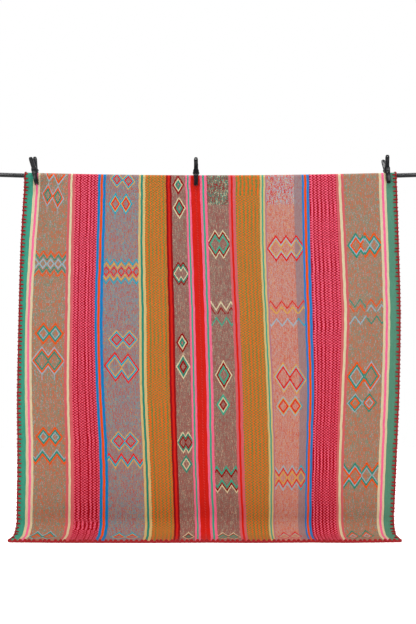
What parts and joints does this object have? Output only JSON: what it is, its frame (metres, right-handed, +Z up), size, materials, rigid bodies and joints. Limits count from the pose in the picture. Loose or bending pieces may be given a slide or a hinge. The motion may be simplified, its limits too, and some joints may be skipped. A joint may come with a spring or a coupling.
{
  "type": "woven rug hung over a rod with spring clamps",
  "caption": "Striped hand-woven wool rug of two sewn panels with stitched edging, hung over a thin black rod by spring clamps, its lower end bent onto the floor.",
  "frame": {"origin": "on the rod's axis at the middle of its span, 1.49 m above the floor", "axes": "+X along the rod to the viewer's right, +Y away from the viewer to the back of the rug, +Z up"},
  "size_m": [1.96, 0.2269, 1.5888],
  "materials": {
    "woven_left": "warp-faced wool weave",
    "woven_right": "warp-faced wool weave",
    "edging_yarn": "blanket-stitched wool yarn",
    "rod_black": "gloss black paint",
    "clamp_nylon": "moulded satin",
    "clamp_steel": "zinc plated",
    "clamp_pad": "matt"
  },
  "bodies": {
    "root": {"panel_left": "woven_left", "panel_right": "woven_right", "edging_left": "edging_yarn", "edging_right": "edging_yarn", "edging_front": "edging_yarn", "edging_back": "edging_yarn", "rod": "rod_black", "clamp_left_front_lever": "clamp_nylon", "clamp_left_back_lever": "clamp_nylon", "clamp_left_pin": "clamp_steel", "clamp_left_spring": "clamp_steel", "clamp_left_front_pad": "clamp_pad", "clamp_left_back_pad": "clamp_pad", "clamp_middle_front_lever": "clamp_nylon", "clamp_middle_back_lever": "clamp_nylon", "clamp_middle_pin": "clamp_steel", "clamp_middle_spring": "clamp_steel", "clamp_middle_front_pad": "clamp_pad", "clamp_middle_back_pad": "clamp_pad", "clamp_right_front_lever": "clamp_nylon", "clamp_right_back_lever": "clamp_nylon", "clamp_right_pin": "clamp_steel", "clamp_right_spring": "clamp_steel", "clamp_right_front_pad": "clamp_pad", "clamp_right_back_pad": "clamp_pad"}
  },
  "joints": []
}
